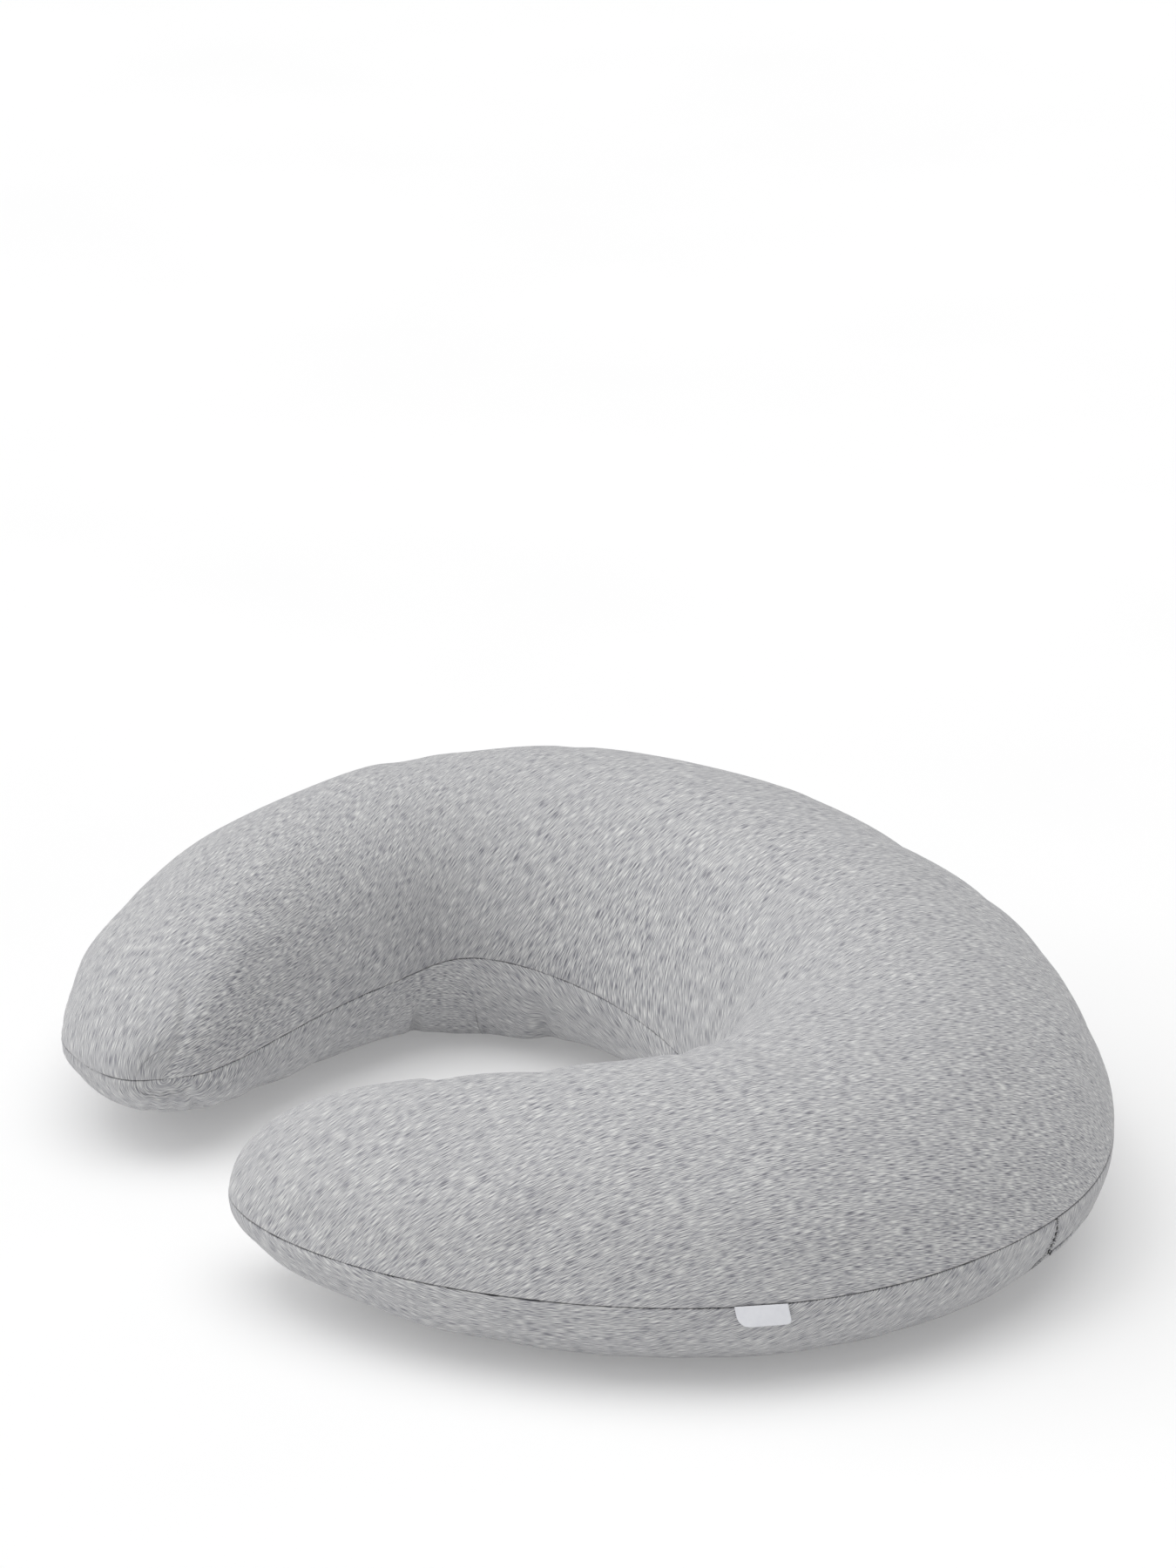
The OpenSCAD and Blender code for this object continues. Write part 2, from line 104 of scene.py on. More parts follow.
def extra(t):
    """How much further than the inner half the outline reaches, where it follows the zip's circle."""
    s = raw_spine(t) - [0, SPINE_DEPTH + HALF_BACK + ZIP_OUT - ZIP_R]
    b = (s * across(t)).sum(-1)
    return np.sqrt(np.maximum(b * b - (s * s).sum(-1) + ZIP_R ** 2, 0)) - b - inner_half(t)


EXTRA_END = extra(np.array(CURVE_END))
EXTRA_SLOPE = (EXTRA_END - extra(np.array(CURVE_END - SLOPE_STEP))) / SLOPE_STEP


def outer_half(t):
    past = np.abs(t) - CURVE_END
    beyond = (EXTRA_END + EXTRA_SLOPE * past) * (1 - ease(past / (FREE_START - CURVE_END)))
    return inner_half(t) + np.where(past < 0, extra(t), beyond)


TIP_PACE = np.linalg.norm(raw_spine(np.array(1.0)) - raw_spine(np.array(1 - SLOPE_STEP))) / SLOPE_STEP


def tip_turn(q):
    return math.pi / 2 * np.clip((np.abs(q) - TIP_SHARE) / (1 - TIP_SHARE), 0, 1)


def place(q, inset):
    tip = np.sign(q) * mix(TIP_START, 1 - inset / TIP_PACE, np.sin(tip_turn(q)))
    return np.where(np.abs(q) <= TIP_SHARE, q * TIP_START / TIP_SHARE, tip)


def station(t):
    """The station q of a place t."""
    past = np.clip((abs(t) - TIP_START) / (1 - TIP_START), 0, 1)
    tip = TIP_SHARE + (1 - TIP_SHARE) * np.arcsin(past) * 2 / math.pi
    return float(np.sign(t) * (abs(t) * TIP_SHARE / TIP_START if abs(t) <= TIP_START else tip))


def closing(q):
    return np.where(np.abs(q) >= 1, 0.0, np.cos(tip_turn(q)))


rim_q = np.linspace(-1, 1, 401)
rim_t = place(rim_q, 0)
rim = raw_spine(rim_t) + across(rim_t) * (outer_half(rim_t) * closing(rim_q))[:, None]
MIDDLE_Y = (rim[:, 1].max() + rim[:, 1].min()) / 2
RIM_REACH = np.concatenate([[0], np.cumsum(np.linalg.norm(np.diff(rim, axis=0), axis=1))])


def seam_height(t, u):
    drop = ease((np.abs(t) - DROP_START) / (DROP_END - DROP_START))
    return mix(SEAM_BACK, SEAM_ARM, drop) + SEAM_RISE * (1 - u) / 2


def section(q, a, up, skin=(0.0, 0.0)):
    """Points at stations q, shape (M, 1), and angles a, shape (N,).
    skin is how far they lie inside the outline: (at the seam, above and below)."""
    t, c = place(q, skin[0]), closing(q)
    k, s = (1 + np.cos(a)) / 2, np.abs(np.sin(a))
    z = seam_height(t, c * np.cos(a))
    if up:
        top = along(TALL_BACK, TALL_SIDE, TALL_ARM, t) - skin[1]
        high = z + (top - z) * c ** CROWN_CLOSE * s ** mix(CROWN_IN, CROWN_OUT, k)
    else:
        high = z - (z * (1 + PRESS_FLAT) - skin[1]) * c ** BELLY_CLOSE * s ** mix(BELLY_IN, BELLY_OUT, k)
        high = np.maximum(high, skin[1])
    lean = CROWN_LEAN * np.sin(a) ** 2 if up else 0
    wide = (mix(inner_half(t), outer_half(t), k) - skin[0]) * c * (np.cos(a) - lean)
    flat = raw_spine(t) - [0, MIDDLE_Y] + across(t) * wide[..., None]
    return np.concatenate([flat, high[..., None]], -1)


DENSE = 320
# How much closer together the dense lines' points lie near the seams
CROWDING = 0.12


class Side:
    """The top or the bottom of a skin, as dense section lines that can be cut at any distance."""

    def __init__(self, q, up, skin=(0.0, 0.0)):
        x = np.linspace(0, 1, DENSE)
        a = math.pi * (x - CROWDING * np.sin(2 * math.pi * x))
        self.angles, self.up, self.q = a, up, q
        self.points = section(q[:, None], a, up, skin)
        step = np.linalg.norm(np.diff(self.points, axis=1), axis=2)
        self.reach = np.concatenate([np.zeros((len(q), 1)), np.cumsum(step, 1)], 1)
        self.length = self.reach[:, -1]

    def distance(self, angle):
        """Distance round each section to an angle."""
        return np.array([np.interp(angle, self.angles, r) for r in self.reach])

    def cut(self, s):
        """Points at distances s, shape (M, N)."""
        out = np.empty(s.shape + (3,))
        for i in range(len(s)):
            for k in range(3):
                out[i, :, k] = np.interp(s[i], self.reach[i], self.points[i, :, k])
        return out


def even_stations(count, extra_q=()):
    """Stations spaced evenly along the outer rim, with some extra ones."""
    even = np.interp(np.linspace(0, RIM_REACH[-1], count), RIM_REACH, rim_q)
    return np.unique(np.concatenate([even, extra_q]))


def normals(p, up):
    """Outward normals of a grid of points."""
    du = np.gradient(p, axis=0)
    dv = np.gradient(p, axis=1)
    n = np.cross(dv, du) if up else np.cross(du, dv)
    size = np.linalg.norm(n, axis=-1, keepdims=True)
    n = n / np.maximum(size, 1e-12)
    for end, inner in ((0, 1), (-1, -2)):
        n[end] = n[inner].mean(0) / np.linalg.norm(n[inner].mean(0))
    return n


# ---------------------------------------------------------------- tools for unevenness
def wander(x, seed, waves, low, high):
    """Sum of sines with set, seeded places: a smooth uneven line along x, from about -1 to 1."""
    rng = np.random.default_rng(seed)
    total = np.zeros_like(x)
    for _ in range(waves):
        total = total + np.sin(2 * math.pi * (x / rng.uniform(low, high) + rng.uniform()))
    return total / math.sqrt(waves)


def lumps(points, seed, size):
    """Smooth unevenness in space, from about -1 to 1, with lumps of that size."""
    rng = np.random.default_rng(seed)
    total = np.zeros(points.shape[:-1])
    for _ in range(10):
        way = rng.normal(size=3)
        way = way / np.linalg.norm(way) / size / rng.uniform(0.7, 1.5)
        total = total + np.sin(2 * math.pi * (points @ way + rng.uniform()))
    return total / math.sqrt(10)


def upsample(grid, x, y):
    """Cubic reading of grid at places x, y from 0 to 1 along its two sides."""
    m, n = grid.shape
    fx, fy = np.clip(x, 0, 1) * (m - 1), np.clip(y, 0, 1) * (n - 1)
    ix, iy = np.minimum(fx.astype(int), m - 2), np.minimum(fy.astype(int), n - 2)
    ux, uy = fx - ix, fy - iy

    def weights(u):
        return [((-0.5 * u + 1) * u - 0.5) * u, (1.5 * u - 2.5) * u * u + 1,
                ((-1.5 * u + 2) * u + 0.5) * u, (0.5 * u - 0.5) * u * u]

    total = np.zeros_like(ux)
    for i, wx in enumerate(weights(ux)):
        for j, wy in enumerate(weights(uy)):
            total = total + wx * wy * grid[np.clip(ix + i - 1, 0, m - 1), np.clip(iy + j - 1, 0, n - 1)]
    return total


def smoothed(grid, passes):
    for _ in range(passes):
        for axis in (0, 1):
            pad = np.pad(grid, [(1, 1) if k == axis else (0, 0) for k in (0, 1)], mode="edge")
            low = np.take(pad, range(0, grid.shape[axis]), axis)
            high = np.take(pad, range(2, grid.shape[axis] + 2), axis)
            grid = (low + 2 * grid + high) / 4
    return grid


# ---------------------------------------------------------------- cloth simulation of the stuffed cover
SIM_STATIONS, SIM_ROWS = 231, 46
SIM_FRAMES, SIM_PRESSURE = 20, 4.0
WRINKLE_CAP = 0.0045
WRINKLE_SHARE = 0.38
# Passes of smoothing that leave only the overall swelling, which is then taken off
SWELL_PASSES = 60
# How strongly rows at and beside a seam gather
SEAM_GATHER, BESIDE_GATHER = 1.0, 0.5


def rehearse():
    """Blows up a copy of the cover with gathered seams.
    Returns how far the top and the bottom move out, without the overall swelling."""
    q = even_stations(SIM_STATIONS)[1:-1]
    rows = np.linspace(0, 1, SIM_ROWS)
    sides = [Side(q, up) for up in (True, False)]
    top, bottom = [s.cut(s.length[:, None] * rows) for s in sides]
    m = len(q)
    ring = np.concatenate([top, bottom[:, -2:0:-1]], axis=1)
    n = ring.shape[1]
    tips = section(np.array([[-1.0], [1.0]]), np.array([0.0]), True)[:, 0]
    points = np.concatenate([ring.reshape(-1, 3), tips])
    faces = [(i * n + j, i * n + (j + 1) % n, (i + 1) * n + (j + 1) % n, (i + 1) * n + j)
             for i in range(m - 1) for j in range(n)]
    faces += [(m * n, (j + 1) % n, j) for j in range(n)]
    faces += [(m * n + 1, (m - 1) * n + j, (m - 1) * n + (j + 1) % n) for j in range(n)]
    mesh = bpy.data.meshes.new("rehearsal")
    mesh.from_pydata(points.tolist(), [], faces)
    mesh.update()
    obj = bpy.data.objects.new("rehearsal", mesh)
    bpy.context.scene.collection.objects.link(obj)
    gather = obj.vertex_groups.new(name="gather")
    for seam in (0, SIM_ROWS - 1):
        for j, strength in ((seam, SEAM_GATHER), (seam + 1, BESIDE_GATHER), ((seam - 1) % n, BESIDE_GATHER)):
            gather.add([i * n + j for i in range(m)], strength, "REPLACE")
    cloth = obj.modifiers.new("Cloth", "CLOTH")
    cloth.settings.quality = 6
    cloth.settings.mass = 0.15
    cloth.settings.tension_stiffness = 12
    cloth.settings.compression_stiffness = 12
    cloth.settings.shear_stiffness = 4
    cloth.settings.bending_stiffness = 0.15
    cloth.settings.use_pressure = True
    cloth.settings.uniform_pressure_force = SIM_PRESSURE
    cloth.settings.effector_weights.gravity = 0
    cloth.settings.vertex_group_shrink = "gather"
    cloth.settings.shrink_min = -0.03
    cloth.settings.shrink_max = 0.09
    cloth.collision_settings.use_collision = False
    cloth.collision_settings.use_self_collision = False
    cloth.point_cache.frame_start = 1
    cloth.point_cache.frame_end = SIM_FRAMES
    for f in range(1, SIM_FRAMES + 1):
        bpy.context.scene.frame_set(f)
    shape = obj.evaluated_get(bpy.context.evaluated_depsgraph_get()).data
    after = np.empty(len(shape.vertices) * 3, np.float32)
    shape.vertices.foreach_get("co", after)
    after = after.reshape(-1, 3)[:m * n].reshape(m, n, 3)
    bpy.context.scene.frame_set(1)
    bpy.data.objects.remove(obj)
    bpy.data.meshes.remove(mesh)
    out = []
    both = [after[:, :SIM_ROWS], np.concatenate([after[:, :1], after[:, :SIM_ROWS - 2:-1]], axis=1)]
    for before, now, up in zip((top, bottom), both, (True, False)):
        move = ((now - before) * normals(before, up)).sum(-1)
        move = move - smoothed(move, SWELL_PASSES)
        out.append(np.clip(smoothed(move, 1), -WRINKLE_CAP, WRINKLE_CAP))
    return {True: out[0], False: out[1]}


WRINKLES = rehearse()

# Dents and soft folds: place t along the C, share of the way round from the outer seam, top or bottom,
# size along and across in metres, turn of its long axis in degrees, depth in metres
DENTS = [
    # pucker where the seams meet at the far arm's tip, with creases that run out from it
    (-1.000, 0.50, True, 0.0060, 0.030, 0, 0.0034),
    (-1.000, 0.50, False, 0.0060, 0.030, 0, 0.0034),
    (-0.965, 0.66, False, 0.018, 0.0028, -20, 0.0024),
    (-0.960, 0.42, False, 0.018, 0.0028, 10, 0.0022),
    (-0.975, 0.54, False, 0.012, 0.0026, -8, 0.0018),
    (-0.970, 0.60, True, 0.015, 0.0026, -10, 0.0020),
    (-0.970, 0.40, True, 0.012, 0.0026, 12, 0.0014),
    # corner at that arm's outer side, and the hollow below it
    (-0.905, 0.03, True, 0.014, 0.014, 0, -0.0024),
    (-0.905, 0.03, False, 0.014, 0.014, 0, -0.0024),
    (-0.950, 0.10, False, 0.012, 0.020, 10, 0.0028),
    # slack cloth at the foot of the inner wall, with two creases
    (-0.400, 0.77, False, 0.050, 0.020, 0, -0.0060),
    (-0.290, 0.80, False, 0.036, 0.020, 0, -0.0055),
    (-0.517, 0.83, False, 0.007, 0.020, 20, 0.0045),
    (-0.235, 0.85, False, 0.008, 0.024, -25, 0.0045),
    (-0.200, 0.87, False, 0.006, 0.018, -35, 0.0025),
    # soft folds across the bend of the near arm
    (0.470, 0.72, True, 0.009, 0.040, 14, 0.0022),
    (0.540, 0.70, True, 0.010, 0.036, 10, 0.0018),
    (0.180, 0.80, True, 0.010, 0.075, 12, 0.0020),
    (0.260, 0.72, True, 0.014, 0.080, 18, 0.0016),
    # faint creases below the seam of the near arm
    (0.880, 0.12, False, 0.030, 0.005, 6, 0.0012),
    (0.800, 0.10, False, 0.040, 0.006, 5, 0.0013),
    (0.720, 0.16, False, 0.030, 0.006, -8, 0.0012),
]
VALLEY_DEEP, VALLEY_WIDE = 0.0005, 0.004
HOLD_WIDE = 0.012
PUCKER_DEEP, PUCKER_WIDE = 0.0004, 0.009
LUMP_DEEP, LUMP_SIZE = 0.0007, 0.085
# The facing's last few millimetres stand proud of the panel behind them
STEP_OUT, STEP_IN, STEP_WIDE = 0.0012, 0.0003, 0.005
# Distances from the outer seam between which that step shows, and how softly it starts and stops
STEP_FROM, STEP_TO, STEP_FADE_IN, STEP_FADE_OUT = 0.004, 0.034, 0.004, 0.006
# Sections shorter than this have less relief
FULL_LENGTH = 0.12
# Beside the zip the tape keeps the fabric calm: run-out in t, share of the pucker lost, width
ZIP_RUN_OUT, ZIP_CALM, ZIP_CALM_WIDE = 0.03, 0.8, 0.02
# Pucker: distance at which it starts, and its shortest and longest waves
PUCKER_START, PUCKER_WAVES = 0.002, (0.009, 0.030)
# Near the ground the fabric is pressed: share of unevenness left, and height at which it is all there
PRESSED_SHARE, PRESSED_TALL = 0.25, 0.03
# Roughly how many metres of the spine one unit of t is, for a C of about 0.2 m radius
SPINE_PACE = ARM_ANGLE * 0.2


def relief(q, s, length, up, points):
    """How far the fabric stands out from the plain shape, at stations q, shape (M,), and distances s.
    length holds the sections' lengths, shape (M, 1)."""
    t = place(q, 0)[:, None]
    reach = np.interp(q, rim_q, RIM_REACH)[:, None]
    share = s / np.maximum(length, 1e-9)
    fade = np.clip(length / FULL_LENGTH, 0, 1)
    from_outer, from_inner = s, length - s
    out = -VALLEY_DEEP * (np.exp(-from_outer / VALLEY_WIDE) + np.exp(-from_inner / VALLEY_WIDE)) * fade
    zipped = 1 - ease((np.abs(t) - FACING_END) / ZIP_RUN_OUT)
    for start, seed, calm in ((from_outer, 3, zipped), (from_inner, 4, 0)):
        wave = wander(reach + 0.0 * s, seed + (10 if up else 0), 7, *PUCKER_WAVES)
        near = np.exp(-start / PUCKER_WIDE) * (1 - np.exp(-start / PUCKER_START))
        out = out + PUCKER_DEEP * wave * near * (1 - ZIP_CALM * calm) * fade
    calm = 1 - zipped * np.exp(-(from_outer / ZIP_CALM_WIDE) ** 2)
    held = 1 - np.exp(-(np.minimum(from_outer, from_inner) / HOLD_WIDE) ** 2)
    pressed = 1 if up else mix(PRESSED_SHARE, 1, ease(points[..., 2] / PRESSED_TALL))
    out = out + LUMP_DEEP * lumps(points, 8, LUMP_SIZE) * calm * held * pressed
    if WRINKLES is not None:
        rim_share = (reach / RIM_REACH[-1]) * (SIM_STATIONS - 1) / (SIM_STATIONS - 3) - 1 / (SIM_STATIONS - 3)
        wrinkle = WRINKLE_SHARE * upsample(WRINKLES[up], rim_share + 0 * s, share)
        out = out + wrinkle * calm * held * fade * pressed
    for dent_t, dent_share, dent_up, size_along, size_across, turn, deep in DENTS:
        if dent_up != up:
            continue
        x = (t - dent_t) * SPINE_PACE
        y = (share - dent_share) * length
        c, w = math.cos(math.radians(turn)), math.sin(math.radians(turn))
        out = out - deep * np.exp(-((c * x + w * y) / size_along) ** 2 - ((c * y - w * x) / size_across) ** 2)
    if not up:
        past = (np.abs(t) - FACING_END) * SPINE_PACE
        level = np.where(past > 0, -STEP_IN, STEP_OUT) * np.exp(-np.abs(past) / STEP_WIDE)
        shown = ease((from_outer - STEP_FROM) / STEP_FADE_IN) * ease((STEP_TO - from_outer) / STEP_FADE_OUT)
        out = out + level * shown
    return out


# ---------------------------------------------------------------- fabric shells
# Distances from a sewn edge at which rows lie, and how deep they roll in there
ROLL = [(0.0, 0.0022), (0.00008, 0.0011), (0.00022, 0.00045), (0.0005, 0.00014), (0.0010, 0.00002),
        (0.0022, 0.0)]
# How tightly the stitches pull the seam in: middle, swing, and the shortest and longest change along it
TIGHT_MIDDLE, TIGHT_SWING, TIGHT_WAVES = 0.62, 0.38, (0.03, 0.16)
# Sections shorter than this have a smaller roll, and the gap fades over this distance from the edge
FULL_ROLL_SPAN, GAP_FADE = 0.03, 0.004
# The inner face has every third row
INNER_EVERY = 3
# The flat panel: share of the C's turn that it keeps, and the radius of its middle line
FLAT_TURN = 0.9
FLAT_RADIUS = 0.24


def flat_place(q, s, side):
    """Where a point lies on the panel before it was sewn: a C that is less closed than the pillow's.
    Toward the tips the panel is longer than its plan, because it also runs down there."""
    length, up = side.length[:, None], side.up
    step = np.diff(side.cut(length / 2)[:, 0], axis=0)
    dropping = np.linalg.norm(step, axis=1) - np.linalg.norm(step[:, :2], axis=1)
    longer = np.cumsum(np.concatenate([[0], dropping]))
    longer = longer - np.interp(0, q, longer)
    turn = (ARM_ANGLE * FLAT_TURN * place(q, 0) + longer / FLAT_RADIUS)[:, None]
    radius = FLAT_RADIUS + length / 2 - s
    mirror = 1 if up else -1
    return np.stack([mirror * radius * np.sin(turn), radius * np.cos(turn), 0 * s + (0 if up else 1)], -1)


def make_object(name, points, faces, cloth=None, smooth=True):
    mesh = bpy.data.meshes.new(name)
    mesh.from_pydata(points.tolist(), [], faces)
    if cloth is not None:
        layer = mesh.attributes.new("cloth", "FLOAT_VECTOR", "POINT")
        layer.data.foreach_set("vector", cloth.astype(np.float32).ravel())
    bm = bmesh.new()
    bm.from_mesh(mesh)
    bmesh.ops.remove_doubles(bm, verts=bm.verts, dist=1e-6)
    bmesh.ops.recalc_face_normals(bm, faces=bm.faces)
    bm.to_mesh(mesh)
    bm.free()
    mesh.update()
    if smooth:
        mesh.shade_smooth()
    obj = bpy.data.objects.new(name, mesh)
    bpy.context.scene.collection.objects.link(obj)
    return obj


def shell(name, q, up, first, rows, thick, lips, gap, skin=(0.0, 0.0), closed_ends=False):
    """A panel of cloth as a closed thin shell.
    first is None, or two functions of the Side that give the distances where the panel starts and stops.
    lips is how far each edge turns in, and gap how far the outer edge stands from the seam line."""
    side = Side(q, up, skin)
    start = np.zeros(len(q)) if first is None else first[0](side)
    stop = side.length if first is None else first[1](side)
    span = stop - start
    near = np.array([d for d, _ in ROLL])
    deep = np.array([r for _, r in ROLL])
    scale = np.clip(span / FULL_ROLL_SPAN, 0, 1)[:, None]
    middle = np.linspace(0, 1, rows + 2)[1:-1]
    left = near * scale
    right = span[:, None] - near[::-1] * scale
    inside = left[:, -1:] + (right[:, :1] - left[:, -1:]) * middle
    s = start[:, None] + np.concatenate([left, inside, right], 1)
    base = side.cut(s)
    n = normals(base, up)
    length = side.length[:, None]
    points = base + n * relief(q, s, length, up, base)[..., None]
    points[..., 2] = np.maximum(points[..., 2], 0)
    n = normals(points, up)
    pull = wander(np.interp(q, rim_q, RIM_REACH), 21, 6, *TIGHT_WAVES)
    tight = TIGHT_MIDDLE + TIGHT_SWING * np.clip(pull, -1, 1)
    roll = np.concatenate([deep, np.zeros(rows), deep[::-1]]) * scale * tight[:, None]
    sign = 1 if up else -1
    away = np.concatenate([np.ones(len(near)), np.zeros(rows + len(near))])
    points[..., 2] += sign * (away * gap[:, None] * np.exp(-(s - start[:, None]) / GAP_FADE))
    points = points - n * roll[..., None]
    # inner face: fewer rows, moved in by the cloth's thickness
    first_row, last_row = len(near) - 1, s.shape[1] - len(near)
    keep = np.arange(0, s.shape[1], INNER_EVERY)
    keep = np.unique(np.concatenate([[first_row], keep[(keep > first_row) & (keep < last_row)], [last_row]]))
    inner = points[:, keep] - n[:, keep] * thick
    flat = flat_place(q, s, side)
    edge_in = []
    for j, lip in ((0, lips[0]), (-1, lips[1])):
        level = points[:, j]
        inward = base[:, -1] - base[:, 0]
        inward[..., 2] = 0
        size = np.linalg.norm(inward, axis=-1, keepdims=True)
        inward = inward / np.maximum(size, 1e-9) * (1 if j == 0 else -1)
        depth = np.minimum(lip, size * 0.25)
        tip = level + inward * depth
        tip[..., 2] = level[..., 2]
        tip_back = tip + [0, 0, sign * thick]
        root_back = level + inward * np.minimum(thick, size * 0.1)
        root_back[..., 2] = level[..., 2] + sign * thick
        edge_in.append((tip, tip_back, root_back))
    ring = np.concatenate([
        points,
        edge_in[1][0][:, None], edge_in[1][1][:, None], edge_in[1][2][:, None],
        inner[:, ::-1],
        edge_in[0][2][:, None], edge_in[0][1][:, None], edge_in[0][0][:, None]], axis=1)
    flat_ring = np.concatenate([
        flat, np.repeat(flat[:, -1:], 3, 1), flat[:, keep][:, ::-1], np.repeat(flat[:, :1], 3, 1)], axis=1)
    m, w = ring.shape[:2]
    faces = [(i * w + j, i * w + (j + 1) % w, (i + 1) * w + (j + 1) % w, (i + 1) * w + j)
             for i in range(m - 1) for j in range(w)]
    if closed_ends:
        faces += [tuple(range(w - 1, -1, -1)), tuple((m - 1) * w + j for j in range(w))]
    return make_object(name, ring.reshape(-1, 3), faces, flat_ring.reshape(-1, 3))


FACING_Q = station(FACING_END)
STEP_Q = station(0.001)
COVER_STATIONS, COVER_ROWS, FACING_ROWS = 560, 58, 12
TIP_STATIONS = np.linspace(-0.998, -0.93, 30)
cover_q = even_stations(COVER_STATIONS, np.concatenate([
    [-FACING_Q - STEP_Q, -FACING_Q + STEP_Q, FACING_Q - STEP_Q, FACING_Q + STEP_Q], TIP_STATIONS]))


def zip_gap(q):
    """Distance of an edge from the seam line: open in front of the zip, narrower toward the facing's ends."""
    narrow = ease((np.abs(q) - station(CURVE_END)) / station(0.04))
    return np.where(np.abs(q) < FACING_Q, mix(ZIP_GAP, 2 * SLIT, narrow), SLIT)


def make_cover():
    closed = np.full(len(cover_q), SLIT)
    lips = (ALLOWANCE, ALLOWANCE)
    top = shell("cover_top", cover_q, True, None, COVER_ROWS, JERSEY, lips, zip_gap(cover_q))
    in_facing = np.abs(cover_q) < FACING_Q

    def from_facing(side):
        return np.where(in_facing, side.distance(FACING_SWEEP), 0)

    bottom = shell("cover_bottom", cover_q, False, (from_facing, lambda side: side.length), COVER_ROWS,
                   JERSEY, lips, closed)
    facing_q = cover_q[np.abs(cover_q) < FACING_Q - 1.5 * STEP_Q]
    facing_q = np.unique(np.concatenate([facing_q, [-FACING_Q + 2 * STEP_Q, FACING_Q - 2 * STEP_Q]]))
    facing = shell("cover_facing", facing_q, False,
                   (lambda side: 0 * side.length, lambda side: side.distance(FACING_SWEEP)), FACING_ROWS,
                   JERSEY, (JERSEY, ALLOWANCE), zip_gap(facing_q), closed_ends=True)
    return top, bottom, facing


# ---------------------------------------------------------------- materials
def srgb(r, g, b):
    """Linear colour of an sRGB one that is given from 0 to 255."""
    return tuple(((c / 255 + 0.055) / 1.055) ** 2.4 for c in (r, g, b)) + (1.0,)


class Nodes:
    """Short calls that build a material's node tree."""

    def __init__(self, name):
        self.material = bpy.data.materials.new(name)
        self.material.use_nodes = True
        self.tree = self.material.node_tree
        self.shader = self.tree.nodes["Principled BSDF"]

    def add(self, kind, **values):
        node = self.tree.nodes.new("ShaderNode" + kind)
        for key, value in values.items():
            setattr(node, key, value)
        return node

    def link(self, a, b):
        self.tree.links.new(a, b)

    def set(self, **sockets):
        for key, value in sockets.items():
            self.shader.inputs[key.replace("_", " ")].default_value = value

    def place(self, attribute=None):
        """Coordinates in metres: those of the cut cloth, or the object's own."""
        if attribute:
            return self.add("Attribute", attribute_name=attribute).outputs["Vector"]
        return self.add("TexCoord").outputs["Object"]

    def mapped(self, place, turn=0.0, scale=(1, 1, 1)):
        """Coordinates turned about Z by an angle in degrees, then scaled."""
        spin = self.add("Mapping", vector_type="POINT")
        spin.inputs["Rotation"].default_value = (0, 0, math.radians(turn))
        self.link(place, spin.inputs["Vector"])
        stretch = self.add("Mapping", vector_type="POINT")
        stretch.inputs["Scale"].default_value = scale
        self.link(spin.outputs["Vector"], stretch.inputs["Vector"])
        return stretch.outputs["Vector"]

    def noise(self, place, scale=1.0, detail=2.0, rough=0.5):
        node = self.add("TexNoise")
        node.inputs["Scale"].default_value = scale
        node.inputs["Detail"].default_value = detail
        node.inputs["Roughness"].default_value = rough
        self.link(place, node.inputs["Vector"])
        return node.outputs["Fac"]

    def streaks(self, place, turn, long, wide, detail=2.0):
        """Noise drawn out along one direction: streaks that long and wide, in metres."""
        return self.noise(self.mapped(place, turn, (1 / long, 1 / wide, 1 / wide)), 1.0, detail)

    def math(self, kind, a, b=0.0):
        node = self.add("Math", operation=kind)
        for socket, value in zip(node.inputs, (a, b)):
            if isinstance(value, (int, float)):
                socket.default_value = value
            else:
                self.link(value, socket)
        return node.outputs[0]

    def ramp(self, fac, stops):
        node = self.add("ValToRGB")
        while len(node.color_ramp.elements) < len(stops):
            node.color_ramp.elements.new(0.5)
        for element, (at, colour) in zip(node.color_ramp.elements, stops):
            element.position = at
            element.color = colour
        self.link(fac, node.inputs["Fac"])
        return node.outputs["Color"]

    def bump(self, height, distance, strength=1.0):
        node = self.add("Bump")
        node.inputs["Distance"].default_value = distance
        node.inputs["Strength"].default_value = strength
        self.link(height, node.inputs["Height"])
        self.link(node.outputs["Normal"], self.shader.inputs["Normal"])


GREY = [srgb(108, 108, 115), srgb(160, 160, 165), srgb(193, 193, 193), srgb(222, 222, 220)]
TOP_GRAIN, BOTTOM_GRAIN, FACING_GRAIN = -100, -112, -112
KNIT_PITCH = 0.0008


